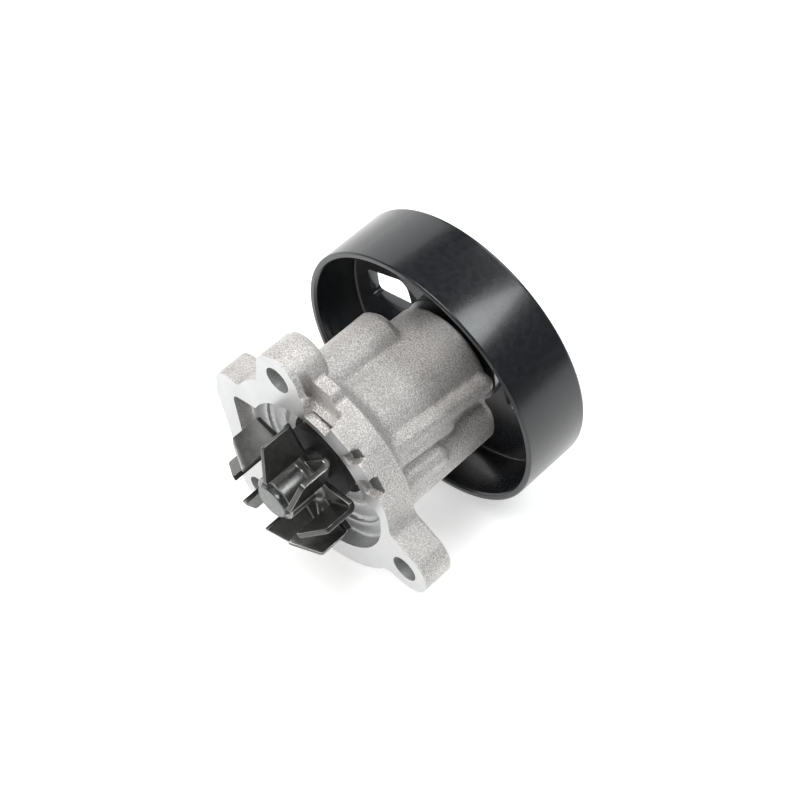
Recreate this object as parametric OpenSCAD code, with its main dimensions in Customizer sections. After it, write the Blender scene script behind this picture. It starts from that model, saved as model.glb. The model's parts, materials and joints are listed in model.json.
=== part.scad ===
// Belt-driven engine water pump: cast body, spindle bearing, face seal, pressed impeller and pulley.
// The origin is the centre of the mounting face on the shaft axis.
// +Y runs along the shaft from the impeller to the pulley and +Z is up.

/* [Flange] */
// Thickness of the mounting flange
flange_t = 12; // [8:0.5:16]
// Radius of the round part of the flange
flange_r = 35.2; // [30:0.1:40]
// Radius of the wider lower part of the flange
lower_r = 40; // [36:0.1:44]
// Thickness of the upper bolt ear
ear_1_t = 13.8; // [12:0.1:16]
// Radius of each bolt ear
ear_r = 9.4; // [8:0.1:12]
// Diameter of the bolt holes
bolt_d = 9.6; // [8:0.1:12]
// Upper bolt hole, distance to the side
bolt_1_x = -12.4; // [-30:0.1:30]
// Upper bolt hole, height
bolt_1_z = 36.8; // [30:0.1:45]
// Side bolt hole, distance to the side
bolt_2_x = 41.7; // [35:0.1:50]
// Side bolt hole, height
bolt_2_z = -12.4; // [-30:0.1:10]
// Lower bolt hole, distance to the side
bolt_3_x = -26; // [-40:0.1:-10]
// Lower bolt hole, height
bolt_3_z = -39.6; // [-50:0.1:-30]
// Radius of the opening round the impeller
throat_r = 26.2; // [24:0.1:28]
// Depth of the opening round the impeller
throat_depth = 8; // [5:0.5:10]
// Outer radius of the inlet pocket in the face
pocket_r = 31.5; // [28:0.1:33]
// Depth of the inlet pocket
pocket_depth = 6; // [3:0.5:8]
// Depth of the relief notches in the face
notch_depth = 3; // [1:0.5:5]
// Inner radius of the relief notches
notch_r = 28.5; // [27:0.1:32]

/* [Lug] */
// Least distance of the lug to the side
lug_x0 = -7; // [-9:0.1:-3]
// Greatest distance of the lug to the side
lug_x1 = 4.8; // [2:0.1:8]
// Height of the lug above the shaft axis
lug_top = 38.4; // [35:0.1:42]
// Where the lug begins
lug_start = 6.2; // [5:0.1:9]
// Where the lug ends
lug_end = 11; // [9:0.1:14]
// Height of the groove floor in front of the lug
groove_floor = 30; // [29:0.1:33]
// Where the groove in front of the lug begins
groove_start = 2.6; // [1:0.1:5]

/* [Neck] */
// Radius of the shoulder at the flange
shoulder_r = 30.5; // [26:0.1:34]
// Where the shoulder meets the neck
shoulder_end = 20.5; // [16:0.1:26]
// Radius of the neck at the flange
neck_r1 = 22; // [20:0.1:25]
// Radius of the neck at the pulley end
neck_r2 = 20.2; // [18:0.1:24]
// Distance from the mounting face to the end of the neck
neck_end = 62.5; // [50:0.5:66]
// Distance of the ridge centres from the shaft axis
ridge_at = 20; // [16:0.1:24]
// Radius of the long rounded ridge
ridge_r = 9.4; // [6:0.1:12]
// Direction of the long rounded ridge
ridge_angle = 129; // [100:1:160]
// Where the long rounded ridge ends
ridge_end = 48; // [30:0.5:50]
// Radius of the side ridge
side_r = 10; // [6:0.1:12]
// Direction of the side ridge
side_angle = -26; // [-50:1:0]
// Where the side ridge ends
side_end = 59; // [40:0.5:62]
// Radius of the underside ridge
under_r = 8.5; // [6:0.1:12]
// Direction of the underside ridge
under_angle = -124; // [-150:1:-100]
// Where the underside ridge ends
under_end = 44; // [30:0.5:60]
// Direction of the long rib at the flange
long_rib_angle = 33; // [20:1:45]
// Where the long rib ends
long_rib_end = 58; // [40:0.5:60]
// Direction of the middle rib at the flange
middle_rib_angle = 21; // [15:1:25]
// Where the middle rib ends
middle_rib_end = 40; // [20:0.5:50]
// Direction of the short rib at the flange
short_rib_angle = -1; // [-10:1:15]
// Where the short rib ends
short_rib_end = 33; // [20:0.5:50]
// Direction of the step beside the long ridge, at the flange
step_angle = 118; // [110:1:124]
// Where the step beside the long ridge ends
step_end = 40; // [30:0.5:45]

/* [Bearing] */
// Outer radius of the bearing
bearing_r = 15; // [13:0.5:17.5]
// Inner radius of the outer race
race_r = 12.4; // [11:0.1:14]
// Where the bearing begins
bearing_start = 26; // [22:0.5:30]
// Radius of the circle through the ball and roller centres
pitch_r = 10.2; // [9:0.1:12]
// Radius of each ball
ball_r = 2.6; // [2:0.05:3]
// Number of balls
ball_count = 8; // [6:1:9]
// Distance of the ball row from the mounting face
ball_at = 35; // [31:0.5:40]
// Radius of each roller
roller_r = 2.1; // [1.5:0.05:2.5]
// Length of each roller
roller_l = 9; // [6:0.5:12]
// Number of rollers
roller_count = 9; // [6:1:12]
// Distance of the middle of the roller row from the mounting face
roller_at = 52.5; // [46:0.5:56]

/* [Shaft] */
// Radius of the thin front part of the shaft
shaft_r = 6; // [5:0.1:8]
// Radius of the thick rear part of the shaft
journal_r = 8; // [7:0.1:10]
// How far the shaft stands out of the mounting face
shaft_front = 17.1; // [14:0.1:20]
// Where the thick part of the shaft begins
journal_start = 24.6; // [20:0.1:26]
// Where the shaft ends at the pulley
shaft_end = 75.4; // [70:0.5:80]

/* [Impeller] */
// Number of vanes
vane_count = 8; // [5:1:10]
// Radius of the vane tips
vane_r = 23.5; // [20:0.1:25]
// Direction of the first vane tip
vane_angle = 146.2; // [0:0.1:360]
// Sweep of each vane from the radial direction
vane_sweep = 25.5; // [0:0.5:45]
// Length of each vane
vane_l = 10.4; // [8:0.1:14]
// Height of the vane front at the tip
vane_tip_y = 14.4; // [10:0.1:18]
// Height of the vane front at the root
vane_root_y = 20; // [14:0.1:22]
// Thickness of the impeller sheet
sheet_t = 1.8; // [1:0.1:2.5]
// Distance from the mounting face to the back of the impeller
impeller_gap = 1.8; // [1:0.1:4]
// Outer radius of the impeller hub
hub_r = 8; // [7:0.1:9]
// Distance from the mounting face to the front of the hub
hub_front = 15.3; // [12:0.1:16.5]

/* [Pulley] */
// Radius of the belt face
pulley_r = 50; // [40:0.5:60]
// Distance from the mounting face to the open rim
pulley_start = 48.8; // [45:0.1:55]
// Distance from the mounting face to the closed end
pulley_end = 74.8; // [70:0.1:80]
// Thickness of the belt wall
pulley_t = 2.2; // [1.5:0.1:3]
// Where the pulley web begins
web_start = 68; // [64:0.1:70]
// Thickness of the pulley web
web_t = 4; // [2:0.1:6]
// Radius of the boss that carries the pulley
boss_out_r = 13; // [11:0.5:16]
// Number of openings in the pulley web
window_count = 4; // [3:1:8]
// Direction of the first opening
window_angle = 171; // [0:1:360]

/* [Hidden] */
$fn = 64;
through = 0.5;
seal_r = 16;
seal_back = 19.6;
chamber_r = 14;
mating_r = 12.4;
face_y = 7.6;
bearing_end = neck_end;
notches = [[73, 92], [50.5, 58], [28, 40]];
bolts = [
  [bolt_1_x, bolt_1_z, ear_1_t],
  [bolt_2_x, bolt_2_z, flange_t],
  [bolt_3_x, bolt_3_z, flange_t]
];
plate_back = -impeller_gap;
plate_front = -impeller_gap - sheet_t;
web_end = web_start + web_t;
vane_pitch = 360 / vane_count;
vane_root = [vane_r - vane_l * cos(vane_sweep), -vane_l * sin(vane_sweep)];

// A straight bar along Y between two distances from the mounting face.
module bar(y0, y1) {
  translate([0, y1, 0])
    rotate([90, 0, 0])
      linear_extrude(y1 - y0)
        children();
}

// A round bar along Y.
module rod(r, y0, y1) {
  translate([0, y1, 0])
    rotate([90, 0, 0])
      cylinder(r = r, h = y1 - y0);
}

// A tapered round bar along Y.
module taper(r0, r1, y0, y1) {
  translate([0, y0, 0])
    rotate([-90, 0, 0])
      cylinder(r1 = r0, r2 = r1, h = y1 - y0);
}

// A solid turned about the shaft axis from a profile of radius and distance.
module turned() {
  rotate([-90, 0, 0])
    rotate_extrude()
      children();
}

// Turns a child from +X towards +Z about the shaft axis.
module at_angle(a) {
  rotate([0, -a, 0])
    children();
}

// A flat wedge between two directions, used to trim round shapes.
module wedge(a0, a1, reach) {
  middle = (a0 + a1) / 2;
  polygon([
    [0, 0],
    [reach * cos(a0), reach * sin(a0)],
    [reach * cos((a0 + middle) / 2), reach * sin((a0 + middle) / 2)],
    [reach * cos(middle), reach * sin(middle)],
    [reach * cos((a1 + middle) / 2), reach * sin((a1 + middle) / 2)],
    [reach * cos(a1), reach * sin(a1)]
  ]);
}

// Outline of the mounting flange with its three bolt ears and its corner lobe.
module flange_outline() {
  $fn = 48;
  fillet = 4;
  offset(r = -fillet)
    offset(r = fillet)
      union() {
        circle(r = flange_r);
        intersection() {
          circle(r = lower_r);
          wedge(-37, -126, 2 * lower_r);
        }
        offset(r = ear_r)
          polygon([[bolt_1_x, bolt_1_z], [-10.5, 22], [-13.5, 20]]);
        offset(r = ear_r)
          polygon([[bolt_2_x, bolt_2_z], [27, -6], [24, -13]]);
        offset(r = ear_r)
          polygon([[bolt_3_x, bolt_3_z], [-12, -22], [-34, 1.5], [-30, -14]]);
        offset(r = 6.6)
          polygon([[-36.5, 8], [-26, 6], [-30, 0]]);
      }
}

// Outline of the inlet pocket that opens into the throat.
module pocket_outline() {
  $fn = 48;
  corner = 5;
  union() {
    offset(r = corner)
      offset(delta = -corner)
        intersection() {
          circle(r = pocket_r);
          wedge(20, -150, 3 * pocket_r);
        }
    offset(r = 3)
      polygon([[-32, 4.4], [-20, 8], [-18, -16], [-29.5, -12]]);
  }
}

// A recess cut across the outer edge of the face beside the throat.
module notch(a0, a1) {
  bar(-through, notch_depth)
    difference() {
      wedge(a0, a1, 1.3 * flange_r);
      circle(r = notch_r);
    }
}

// A square lug standing on the rim beside the upper ear.
module lug() {
  bevel = 0.8;
  translate([lug_x0, lug_start, 0])
    rotate([0, -90, -90])
      linear_extrude(lug_end - lug_start)
        polygon([
          [flange_r - 14, 0],
          [lug_top - bevel, 0],
          [lug_top, bevel],
          [lug_top, lug_x1 - lug_x0 - bevel],
          [lug_top - bevel, lug_x1 - lug_x0],
          [flange_r - 14, lug_x1 - lug_x0 + 3]
        ]);
}

// The groove in front of the lug, open to the side.
module lug_groove() {
  translate([lug_x0 + 1.6, groove_start, groove_floor])
    cube([lug_x1 - lug_x0 + 3, lug_start - groove_start, 20]);
}

// The weep hole that lets leaked coolant out underneath.
module weep_hole() {
  hole_r = 2.2;
  hole_angle = -75;
  at_angle(hole_angle)
    translate([chamber_r - 2, (seal_back + bearing_start) / 2, 0])
      rotate([0, 90, 0])
        cylinder(r = hole_r, h = 14);
}

// A rounded rib lying along the neck, with a ball end. It drifts round the neck by an angle on its way.
module rib(angle, drift, at, r, end, knob) {
  from = [at * cos(angle), flange_t - 2, at * sin(angle)];
  to = [at * cos(angle - drift), end, at * sin(angle - drift)];
  way = to - from;
  translate(from)
    rotate([0, acos(way[2] / norm(way)), atan2(way[1], way[0])])
      cylinder(r = r, h = norm(way));
  translate(to)
    sphere(r = knob);
}

// A long ridge with a bevelled end, carrying load from an ear to the neck.
module ridge(angle, r, end) {
  bevel = 2.6;
  at_angle(angle)
    translate([ridge_at, 0, 0]) {
      rod(r, flange_t - 2, end - bevel);
      taper(r, r - bevel, end - bevel, end);
    }
}

// The casting before it is machined.
module casting() {
  boss_step = 0.5;
  bar(0, flange_t)
    flange_outline();
  translate([bolt_1_x, 0, bolt_1_z])
    rod(ear_r - boss_step, flange_t - 1, ear_1_t);
  lug();
  taper(shoulder_r, neck_r2 + 0.8, flange_t - 1, shoulder_end);
  taper(neck_r1, neck_r2, flange_t - 2, neck_end - 1.5);
  taper(neck_r2, neck_r2 - 1.5, neck_end - 1.5, neck_end);
  ridge(ridge_angle, ridge_r, ridge_end);
  ridge(side_angle, side_r, side_end);
  ridge(under_angle, under_r, under_end);
  rib(long_rib_angle, 12, neck_r1 - 0.5, 3.4, long_rib_end, 3.7);
  rib(middle_rib_angle, 7, neck_r1 - 1.5, 4, middle_rib_end, 4.1);
  rib(short_rib_angle, 5, neck_r1 + 2, 3.8, short_rib_end, 4);
  rib(step_angle, 6, neck_r1 - 3.8, 4.6, step_end, 4.7);
}

module housing() {
  color([0.72, 0.71, 0.69])
    difference() {
      casting();
      rod(throat_r, -through, throat_depth);
      bar(-through, pocket_depth)
        pocket_outline();
      for (a = notches)
        notch(a[0], a[1]);
      lug_groove();
      taper(seal_r + 4, seal_r, throat_depth - 0.01, throat_depth + 2.4);
      rod(seal_r, throat_depth, seal_back);
      rod(chamber_r, seal_back - through, bearing_start + through);
      rod(bearing_r, bearing_start, neck_end + through);
      for (b = bolts)
        translate([b[0], 0, b[1]])
          rod(bolt_d / 2, -through, b[2] + through);
      weep_hole();
    }
}

module bearing_outer_race() {
  color([0.75, 0.76, 0.78])
    difference() {
      rod(bearing_r, bearing_start, bearing_end);
      rod(race_r, bearing_start - through, bearing_end + through);
      translate([0, ball_at, 0])
        turned()
          translate([pitch_r, 0])
            circle(r = ball_r + 0.15);
    }
}

module shaft() {
  bevel = 0.5;
  color([0.5, 0.52, 0.53])
    difference() {
      union() {
        taper(shaft_r - bevel / 2, shaft_r, -shaft_front, -shaft_front + bevel / 2);
        rod(shaft_r, -shaft_front + bevel / 2, journal_start);
        rod(journal_r, journal_start, shaft_end - bevel);
        taper(journal_r, journal_r - bevel, shaft_end - bevel, shaft_end);
      }
      translate([0, ball_at, 0])
        turned()
          translate([pitch_r, 0])
            circle(r = ball_r + 0.15);
    }
}

module front_balls() {
  color([0.82, 0.83, 0.85])
    for (i = [0 : ball_count - 1])
      at_angle(i * 360 / ball_count)
        translate([pitch_r, ball_at, 0])
          sphere(r = ball_r);
}

// A ring cage round the pitch circle.
module cage_ring(half) {
  difference() {
    rod(pitch_r + 0.9, -half, half);
    rod(pitch_r - 0.9, -half - through, half + through);
  }
}

module front_cage() {
  color([0.86, 0.78, 0.55])
    translate([0, ball_at, 0])
      difference() {
        cage_ring(3.6);
        for (i = [0 : ball_count - 1])
          at_angle(i * 360 / ball_count)
            translate([pitch_r - 2, 0, 0])
              rotate([0, 90, 0])
                cylinder(r = ball_r + 0.15, h = 4);
      }
}

module rear_rollers() {
  color([0.82, 0.83, 0.85])
    for (i = [0 : roller_count - 1])
      at_angle(i * 360 / roller_count)
        translate([pitch_r, roller_at, 0])
          rod(roller_r, -roller_l / 2, roller_l / 2);
}

module rear_cage() {
  color([0.86, 0.78, 0.55])
    translate([0, roller_at, 0])
      difference() {
        cage_ring(roller_l / 2 + 1.4);
        for (i = [0 : roller_count - 1])
          at_angle(i * 360 / roller_count)
            translate([pitch_r, 0, 0])
              rod(roller_r + 0.15, -roller_l / 2 - 0.15, roller_l / 2 + 0.15);
      }
}

// A lipped ring that closes one end of the bearing.
module lip_seal(y, facing) {
  lip_r = journal_r + 0.3;
  translate([0, y, 0])
    turned()
      polygon([
        [race_r, -0.8],
        [race_r, 0.8],
        [lip_r + 1.2, 0.5],
        [lip_r + 0.7, facing * 1.1],
        [lip_r, facing * 1.1 + 0.3],
        [lip_r, -0.4],
        [lip_r + 1.2, -0.6]
      ]);
}

module front_bearing_seal() {
  color([0.12, 0.12, 0.13])
    lip_seal(bearing_start + 2, 1);
}

module rear_bearing_seal() {
  color([0.12, 0.12, 0.13])
    lip_seal(bearing_end - 2, 1);
}

module slinger() {
  color([0.3, 0.3, 0.31])
    turned()
      polygon([
        [shaft_r, 21],
        [shaft_r + 1.6, 21],
        [shaft_r + 1.6, 22],
        [chamber_r - 2.4, 22.6],
        [chamber_r - 2.4, 23.6],
        [shaft_r, 23.6]
      ]);
}

module seal_cup() {
  cup_t = 0.7;
  color([0.78, 0.72, 0.5])
    turned()
      polygon([
        [seal_r + 2.2, throat_depth + 1.08],
        [seal_r + 2.2, throat_depth + 0.38],
        [seal_r - cup_t, throat_depth + 0.38],
        [seal_r - cup_t, seal_back - cup_t],
        [shaft_r + 2.6, seal_back - cup_t],
        [shaft_r + 2.6, seal_back],
        [seal_r, seal_back],
        [seal_r, throat_depth + 2.4]
      ]);
}

module seal_bellows() {
  wall = 0.9;
  inner = [[13.2, 17.9], [10.4, 17.1], [13.0, 15.7], [10.4, 14.3], [12.0, 12.9], [12.0, 11.4]];
  last = len(inner) - 1;
  color([0.1, 0.1, 0.11])
    turned()
      polygon(concat(
        [[14.6, 18.9], [10.0, 18.9], [9.4, 17.6]],
        [for (p = [1 : last]) [inner[p][0] - wall, inner[p][1]]],
        [[8.6, 11.4], [8.6, 10.6], [12.9, 10.6]],
        [for (p = [last : -1 : 0]) inner[p]],
        [[14.6, 18.2]]
      ));
}

// A round wire wound on a cylinder about the shaft axis.
module seal_spring() {
  turns = 3.5;
  wire_r = 0.45;
  coil_r = 14.2;
  start = 12.4;
  rise = 5;
  sides = 8;
  steps = 84;
  points = [
    for (i = [0 : steps])
      let (a = turns * 360 * i / steps, y = start + rise * i / steps)
        for (j = [0 : sides - 1])
          let (r = coil_r + wire_r * cos(j * 360 / sides), s = wire_r * sin(j * 360 / sides))
            [r * cos(a), y + s, r * sin(a)]
  ];
  sides_faces = [
    for (i = [0 : steps - 1])
      for (j = [0 : sides - 1])
        [
          i * sides + j,
          i * sides + (j + 1) % sides,
          (i + 1) * sides + (j + 1) % sides,
          (i + 1) * sides + j
        ]
  ];
  first_end = [for (j = [sides - 1 : -1 : 0]) j];
  last_end = [for (j = [0 : sides - 1]) steps * sides + j];
  color([0.7, 0.71, 0.73])
    polyhedron(points = points, faces = concat(sides_faces, [first_end, last_end]));
}

module seal_ferrule() {
  color([0.8, 0.74, 0.5])
    turned()
      polygon([
        [12.9, 10],
        [13.6, 10],
        [13.6, 11.4],
        [15, 11.4],
        [15, 11.9],
        [12.9, 11.9]
      ]);
}

module seal_carbon_ring() {
  color([0.16, 0.16, 0.17])
    turned()
      polygon([
        [8.6, face_y],
        [10.8, face_y],
        [10.8, 8.8],
        [12.9, 8.8],
        [12.9, 10.6],
        [8.6, 10.6]
      ]);
}

module seal_mating_ring() {
  color([0.88, 0.86, 0.8])
    turned()
      polygon([
        [7.2, 4.8],
        [mating_r, 4.8],
        [mating_r, face_y],
        [7.2, face_y]
      ]);
}

module seal_mating_boot() {
  color([0.12, 0.12, 0.13])
    turned()
      polygon([
        [shaft_r, 3.8],
        [mating_r + 1, 3.8],
        [mating_r + 1, 6.8],
        [mating_r, 6.8],
        [mating_r, 4.8],
        [7.2, 4.8],
        [7.2, face_y],
        [shaft_r, face_y]
      ]);
}

// One pressed vane, standing forward from the star plate.
module vane() {
  corner = 0.7;
  translate([vane_root[0], 0, vane_root[1]])
    rotate([0, -vane_sweep, 0])
      linear_extrude(sheet_t)
        offset(r = corner)
          offset(delta = -corner)
            polygon([
              [0, -vane_root_y],
              [vane_l, -vane_tip_y],
              [vane_l, plate_back],
              [1.5, plate_back]
            ]);
}

// Star plate: each arm runs from the hub to a vane tip.
module star_outline() {
  union() {
    for (k = [0 : vane_count - 1])
      rotate(vane_angle + k * vane_pitch)
        polygon([
          [0, 0],
          [9.4, -5.2],
          [vane_root[0] + 2.2, vane_root[1] + 1],
          [vane_r, 0],
          [10.4, 4.1],
          [7, 5]
        ]);
    circle(r = 10.4);
  }
}

module impeller() {
  color([0.27, 0.27, 0.26])
    difference() {
      union() {
        bar(plate_front, plate_back)
          star_outline();
        for (k = [0 : vane_count - 1])
          at_angle(vane_angle + k * vane_pitch)
            vane();
        rod(hub_r, -hub_front, plate_back);
        taper(hub_r, hub_r + 1.6, plate_front - 1.6, plate_front);
      }
      rod(shaft_r, -hub_front - through, plate_back + through);
      taper(shaft_r + 0.9, shaft_r - 0.1, -hub_front - 0.01, -hub_front + 1);
    }
}

module pulley_hub() {
  color([0.45, 0.46, 0.48])
    difference() {
      union() {
        rod(boss_out_r, neck_end + 1.6, shaft_end - 0.5);
        rod(boss_out_r + 7, web_start - 3, web_start);
      }
      rod(journal_r, neck_end, shaft_end + through);
    }
}

// One rounded opening in the pulley web, wider towards the rim.
module window_outline() {
  corner = 2.4;
  offset(r = corner)
    offset(delta = -corner)
      polygon([
        [41.7, 2.2],
        [38, 14.2],
        [21.7, 5.8],
        [21.5, -1.1],
        [24.2, -6.3],
        [27.5, -7.6]
      ]);
}

module pulley() {
  bend = 1.2;
  inner_bend = 0.8;
  wall = pulley_r - pulley_t;
  lip_in = 0.35;
  dish_r = 45.4;
  outer = [for (a = [0 : 15 : 90]) [pulley_r - bend + bend * cos(a), pulley_end - bend + bend * sin(a)]];
  inner = [
    for (a = [90 : -30 : 0])
      [wall - inner_bend + inner_bend * cos(a), web_start - inner_bend + inner_bend * sin(a)]
  ];
  color([0.07, 0.08, 0.09])
    difference() {
      turned()
        polygon(concat(
          [[pulley_r - 0.7, pulley_start], [pulley_r, pulley_start + 0.8]],
          outer,
          [[dish_r + 1.2, pulley_end], [dish_r, web_end + 0.8], [dish_r - 0.8, web_end]],
          [[boss_out_r, web_end], [boss_out_r, web_start]],
          inner,
          [[wall, pulley_start + 4], [wall - lip_in, pulley_start + 3.4]],
          [[wall - lip_in, pulley_start + 0.9], [wall + 0.3, pulley_start]]
        ));
      for (k = [0 : window_count - 1])
        at_angle(window_angle + k * 360 / window_count)
          bar(web_start - through, web_end + through)
            window_outline();
    }
}

housing();
bearing_outer_race();
shaft();
front_balls();
front_cage();
rear_rollers();
rear_cage();
front_bearing_seal();
rear_bearing_seal();
slinger();
seal_cup();
seal_bellows();
seal_spring();
seal_ferrule();
seal_carbon_ring();
seal_mating_ring();
seal_mating_boot();
impeller();
pulley_hub();
pulley();
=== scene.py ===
"""Belt-driven engine water pump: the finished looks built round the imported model.

Every piece is in metres in the model's own frame: the mounting face is the plane y = 0,
the shaft runs along +Y towards the pulley and +Z is up.
"""

import json
import math

import bmesh
import bpy
import numpy as np
from bpy.props import FloatProperty, FloatVectorProperty, IntProperty, PointerProperty
from mathutils import Matrix, Vector


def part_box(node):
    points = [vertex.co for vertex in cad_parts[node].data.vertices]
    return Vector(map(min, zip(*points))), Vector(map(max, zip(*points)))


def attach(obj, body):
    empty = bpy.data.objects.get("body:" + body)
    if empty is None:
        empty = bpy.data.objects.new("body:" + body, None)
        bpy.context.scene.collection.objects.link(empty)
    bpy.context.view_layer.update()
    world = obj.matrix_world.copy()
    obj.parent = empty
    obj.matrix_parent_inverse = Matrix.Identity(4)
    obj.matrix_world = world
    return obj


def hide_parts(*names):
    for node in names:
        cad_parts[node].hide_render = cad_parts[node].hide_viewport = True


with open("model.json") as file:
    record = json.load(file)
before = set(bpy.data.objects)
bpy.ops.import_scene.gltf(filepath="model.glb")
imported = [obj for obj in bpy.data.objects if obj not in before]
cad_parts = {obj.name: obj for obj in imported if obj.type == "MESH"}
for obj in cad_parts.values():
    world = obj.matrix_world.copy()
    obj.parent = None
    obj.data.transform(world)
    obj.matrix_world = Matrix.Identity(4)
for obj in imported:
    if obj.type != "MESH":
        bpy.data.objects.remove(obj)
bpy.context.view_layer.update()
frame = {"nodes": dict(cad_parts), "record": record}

bl_info = {
    "name": "Water pump looks",
    "version": (1, 0, 0),
    "blender": (4, 5, 0),
    "location": "3D View > Sidebar > Pump",
    "description": "Builds the cast body, impeller, pulley and finishes of a belt-driven water pump",
    "category": "Object",
}

MM = 0.001
NODES = frame["nodes"]
MOUNTS = {m["name"]: m for m in frame["record"]["mounts"]}
BOLTS = [m for n, m in sorted(MOUNTS.items()) if n.startswith("bolt_hole")]
PULLEY_LOW, PULLEY_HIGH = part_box("pulley")
IMPELLER_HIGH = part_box("impeller")[1]
FLOOR_Z = float(PULLEY_LOW.z) - 0.0002

# The casting's machined surfaces, in millimetres. POCKET_R is how far out the inlet's finish reaches.
THROAT_R = 26.2
THROAT_DEPTH = 8.0
POCKET_R = 33.5
NOTCH_DEPTH = 3.0
SEAL_R = 16.0
SEAL_START = THROAT_DEPTH + 1.6
SEAL_END = 19.6
BEARING_R = 15.0
BEARING_START = 26.0
BEARING_END = 63

# How far from a machined surface, in millimetres, the rounding of the cast skin starts and is full.
FACE_FADE = (0.4, 1.6)
BOLT_FADE = (0.4, 1.4)
THROAT_FADE = (0.3, 1)
SEAL_FADE = (0.6, 1.6)
NECK_END = (61.2, 62.0)
NECK_END_KEEP = 0.8

# The lug at the top and the teeth round the notches keep their crisp edges.
LUG_X = -1
LUG_HALF = 8
LUG_DEPTH = 12
LUG_Z = 28.5
TEETH_DEPTH = 4.2
TEETH_R = 27.5
TEETH_X = -4
TEETH_Z = 8
CRISP = 0.85
INLET_Z = 12

# The impeller in millimetres: points across the shaft are (x, z) with the vane tip on +X.
VANE_ROOT_FRONT = -19.7
VANE_TIP_FRONT = -14.4
VANE_CORNER = 0.8
ARM_FOOT = (10.2, 4.3)
HUB_EDGE = ((8.3, -5.0), (6.4, 3.4))
BUSH = (
    (6.0, -14.7, 0.1), (6.7, -15.3, 0.15), (8.0, -15.3, 0.35), (8.0, -5.2, 1.6), (9.7, -3.82, 0.5),
    (10.5, -3.82, 0.2), (10.5, -1.7, 0.2), (6.0, -1.7, 0.1))

# The openings in the pulley's web: how many, the turn of the first and its outline in millimetres.
WINDOWS = 4
FIRST_WINDOW = 171
WINDOW = (
    (41.7, 2.2, 2.4), (38.0, 14.2, 2.4), (21.7, 5.8, 2.4), (21.5, -1.1, 2.4), (24.2, -6.3, 2.4),
    (27.5, -7.6, 2.4))

# The rest of the web in millimetres: the seat on the hub, and the rear dish at its rim and at its floor.
HUB_SEAT_R = 13.02
DISH_RIM_R = 46.6
DISH_FLOOR_R = 45.4


# ---------------------------------------------------------------- settings


class CastingSettings(bpy.types.PropertyGroup):
    cell: FloatProperty(
        name="Surface cell", description="Size of one surface cell of the casting",
        default=0.00064, min=0.0004, max=0.002, subtype="DISTANCE", unit="LENGTH")
    passes: IntProperty(
        name="Fillet passes", description="How far the cast corners are rounded", default=6, min=0,
        max=60)
    grain: FloatProperty(
        name="Grain size", description="Size of one grain of the blasted skin",
        default=0.00044, min=0.0001, max=0.002, subtype="DISTANCE", unit="LENGTH")
    skin: FloatVectorProperty(
        name="Skin colour", description="Colour of the blasted skin", default=(0.66, 0.64, 0.625),
        size=3, min=0, max=1, subtype="COLOR")
    milled: FloatVectorProperty(
        name="Milled colour", description="Colour of the milled mounting face",
        default=(0.62, 0.625, 0.63), size=3, min=0, max=1, subtype="COLOR")


class ImpellerSettings(bpy.types.PropertyGroup):
    vanes: IntProperty(name="Vanes", description="Number of vanes", default=8, min=4, max=12)
    tip_r: FloatProperty(
        name="Tip radius", description="Distance of the vane tips from the shaft axis", default=0.0235,
        subtype="DISTANCE", unit="LENGTH")
    length: FloatProperty(
        name="Vane length", description="Length of each vane along its bend", default=0.0104,
        subtype="DISTANCE", unit="LENGTH")
    sweep: FloatProperty(
        name="Sweep", description="Turn of each vane from the radial direction",
        default=math.radians(25.5), subtype="ANGLE", unit="ROTATION")
    first: FloatProperty(
        name="First tip", description="Direction of the first vane tip", default=math.radians(146.2),
        subtype="ANGLE", unit="ROTATION")
    sheet: FloatProperty(
        name="Sheet", description="Thickness of the pressed sheet", default=0.0018,
        subtype="DISTANCE", unit="LENGTH")
    bend: FloatProperty(
        name="Bend radius", description="Radius of the bend through the middle of the sheet",
        default=0.0017, subtype="DISTANCE", unit="LENGTH")
    tint: FloatVectorProperty(
        name="Sheet colour", description="Colour of the oiled steel sheet", default=(0.12, 0.12, 0.117),
        size=3, min=0, max=1, subtype="COLOR")


class PulleySettings(bpy.types.PropertyGroup):
    segments: IntProperty(name="Segments", description="Steps round the drum", default=240, min=48,
                          max=720)
    rim: FloatProperty(
        name="Outer radius", description="Radius of the belt face", default=float(PULLEY_HIGH.x),
        subtype="DISTANCE", unit="LENGTH")
    sheet: FloatProperty(
        name="Sheet", description="Thickness of the drum", default=0.0022, subtype="DISTANCE",
        unit="LENGTH")
    web: FloatProperty(
        name="Web start", description="Where the web begins", default=0.068, subtype="DISTANCE",
        unit="LENGTH")
    web_sheet: FloatProperty(
        name="Web", description="Thickness of the web", default=0.004, subtype="DISTANCE", unit="LENGTH")
    paint: FloatVectorProperty(
        name="Paint", description="Colour of the gloss paint", default=(0.012, 0.0135, 0.016),
        size=3, min=0, max=1, subtype="COLOR")


class StageSettings(bpy.types.PropertyGroup):
    floor: FloatVectorProperty(
        name="Floor", description="Colour of the floor", default=(0.93, 0.93, 0.93),
        size=3, min=0, max=1, subtype="COLOR")
    glow: FloatProperty(name="Floor glow", description="Light that the floor gives off", default=0.5,
                        min=0)
    power: FloatProperty(name="Light", description="Strength of the soft lights", default=1.0, min=0)
    ambient: FloatProperty(name="Ambient", description="Strength of the light from all round",
                           default=0.12, min=0)


# ---------------------------------------------------------------- shapes


def add_mesh(name, mesh, body, sharp=35.0):
    """An object at the origin for a mesh, smooth but for edges sharper than the angle."""
    mesh.validate()
    mesh.polygons.foreach_set("use_smooth", np.ones(len(mesh.polygons), bool))
    mesh.set_sharp_from_angle(angle=math.radians(sharp))
    piece = bpy.data.objects.new(name, mesh)
    bpy.context.scene.collection.objects.link(piece)
    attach(piece, body)
    return piece


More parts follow.
